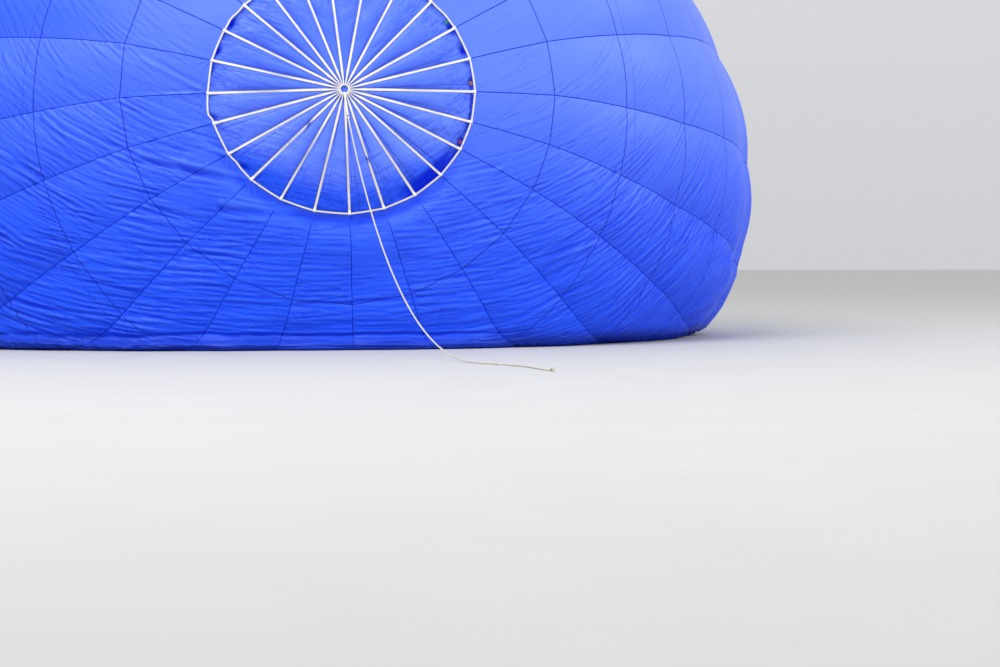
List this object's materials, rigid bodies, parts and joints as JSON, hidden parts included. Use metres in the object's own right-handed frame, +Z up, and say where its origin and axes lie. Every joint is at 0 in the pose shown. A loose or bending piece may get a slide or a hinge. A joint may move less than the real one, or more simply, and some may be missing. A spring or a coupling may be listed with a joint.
{
  "type": "hot air balloon",
  "caption": "Part-filled hot air balloon lying on its side for cold inflation, with open mouth, vent panel, gimballed burner, load frame and wicker basket.",
  "frame": {"origin": "on the ground directly below the widest section of the lying envelope, in its middle plane", "axes": "+Z up from the ground, +Y along the envelope from the crown towards the mouth and basket, +X to the right as seen from the crown end"},
  "size_m": [17.1879, 28.4299, 10.9932],
  "materials": {
    "fabric_blue": "satin ripstop",
    "fabric_dark": "matt heat-resistant cloth",
    "webbing_white": "woven polyester tape",
    "rope_white": "braided rope",
    "ring_alloy": "satin",
    "burner_alloy": "machined",
    "burner_steel": "heat-tinted stainless",
    "frame_steel": "brushed stainless",
    "wire_steel": "stranded stainless",
    "wicker": "woven willow and cane",
    "leather": "stitched hide",
    "plywood": "varnished",
    "cylinder_metal": "satin"
  },
  "bodies": {
    "envelope": {"gore_01": "fabric_blue", "gore_02": "fabric_blue", "gore_03": "fabric_blue", "gore_04": "fabric_blue", "gore_05": "fabric_blue", "gore_06": "fabric_blue", "gore_07": "fabric_blue", "gore_08": "fabric_blue", "gore_09": "fabric_blue", "gore_10": "fabric_blue", "gore_11": "fabric_blue", "gore_12": "fabric_blue", "gore_13": "fabric_blue", "gore_14": "fabric_blue", "gore_15": "fabric_blue", "gore_16": "fabric_blue", "gore_17": "fabric_blue", "gore_18": "fabric_blue", "gore_19": "fabric_blue", "gore_20": "fabric_blue", "gore_21": "fabric_blue", "gore_22": "fabric_blue", "gore_23": "fabric_blue", "gore_24": "fabric_blue", "mouth_band": "fabric_dark", "vent_rim_tape": "webbing_white", "crown_tapes": "webbing_white", "crown_strop": "webbing_white", "crown_ring": "ring_alloy", "crown_shackle": "wire_steel", "crown_line": "rope_white", "crown_line_knot": "rope_white", "flying_wires_1": "wire_steel", "flying_wires_2": "wire_steel", "flying_wires_3": "wire_steel", "flying_wires_4": "wire_steel", "load_frame": "frame_steel", "upright_upper_right": "leather", "fuel_cylinder_upper_right": "cylinder_metal", "upright_upper_left": "leather", "fuel_cylinder_upper_left": "cylinder_metal", "upright_lower_left": "leather", "fuel_cylinder_lower_left": "cylinder_metal", "upright_lower_right": "leather", "fuel_cylinder_lower_right": "cylinder_metal", "basket_rim": "leather", "basket_wicker": "wicker", "basket_floor": "plywood", "runner_left": "plywood", "runner_middle": "plywood", "runner_right": "plywood"},
    "parachute_valve": {"parachute_panel": "fabric_blue"},
    "gimbal": {"gimbal_frame": "frame_steel"},
    "burner": {"burner_block": "burner_alloy", "burner_can_left": "burner_steel", "burner_can_right": "burner_steel"}
  },
  "joints": [
    {"name": "parachute_slide", "type": "slide", "parent": "envelope", "child": "parachute_valve", "axis": [0, 1, 0], "range_m": [0, 1.5]},
    {"name": "gimbal_pivot", "type": "hinge", "parent": "envelope", "child": "gimbal", "pos_m": [0, 13.75, 0.63], "axis": [1, 0, 0], "range_deg": [-15, 15]},
    {"name": "burner_pivot", "type": "hinge", "parent": "gimbal", "child": "burner", "pos_m": [0, 13.75, 0.63], "axis": [0, 0, 1], "range_deg": [-15, 15]}
  ]
}
